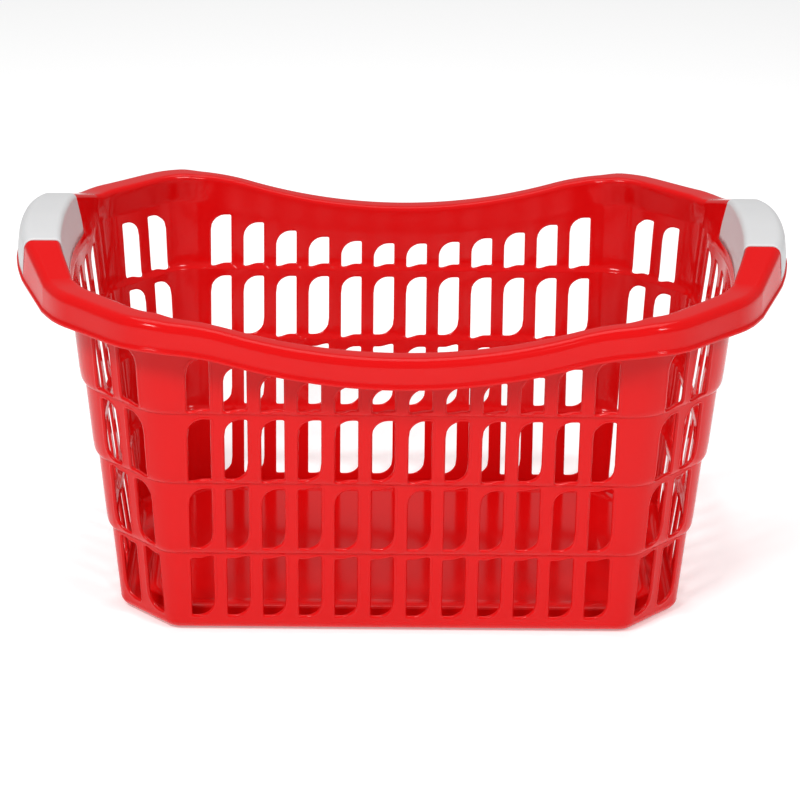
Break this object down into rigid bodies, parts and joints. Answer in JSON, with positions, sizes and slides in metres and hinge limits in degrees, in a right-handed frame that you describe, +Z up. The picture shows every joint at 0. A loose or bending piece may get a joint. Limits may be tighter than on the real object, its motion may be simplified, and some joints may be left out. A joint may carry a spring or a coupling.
{
  "type": "carrying basket",
  "caption": "Open oblong plastic basket with slotted, stepped walls, a wavy turned-over rim and a raised carrying handle with a soft grip at each end.",
  "frame": {"origin": "on the floor under the middle of the basket", "axes": "+X along the basket towards its right-hand handle, +Y from the front to the back, +Z up"},
  "size_m": [0.598, 0.3786, 0.2891],
  "materials": {
    "red_moulding": "glossy moulded polypropylene",
    "white_grip": "satin soft-touch plastic"
  },
  "bodies": {
    "root": {"base_panel": "red_moulding", "front_left_foot": "red_moulding", "front_right_foot": "red_moulding", "back_left_foot": "red_moulding", "back_right_foot": "red_moulding", "front_wall": "red_moulding", "back_wall": "red_moulding", "left_end_wall": "red_moulding", "right_end_wall": "red_moulding", "front_left_corner_wall": "red_moulding", "front_right_corner_wall": "red_moulding", "back_left_corner_wall": "red_moulding", "back_right_corner_wall": "red_moulding", "front_rim": "red_moulding", "back_rim": "red_moulding", "front_left_corner_rim": "red_moulding", "front_right_corner_rim": "red_moulding", "back_left_corner_rim": "red_moulding", "back_right_corner_rim": "red_moulding", "left_handle": "red_moulding", "right_handle": "red_moulding", "left_grip": "white_grip", "right_grip": "white_grip"}
  },
  "joints": []
}
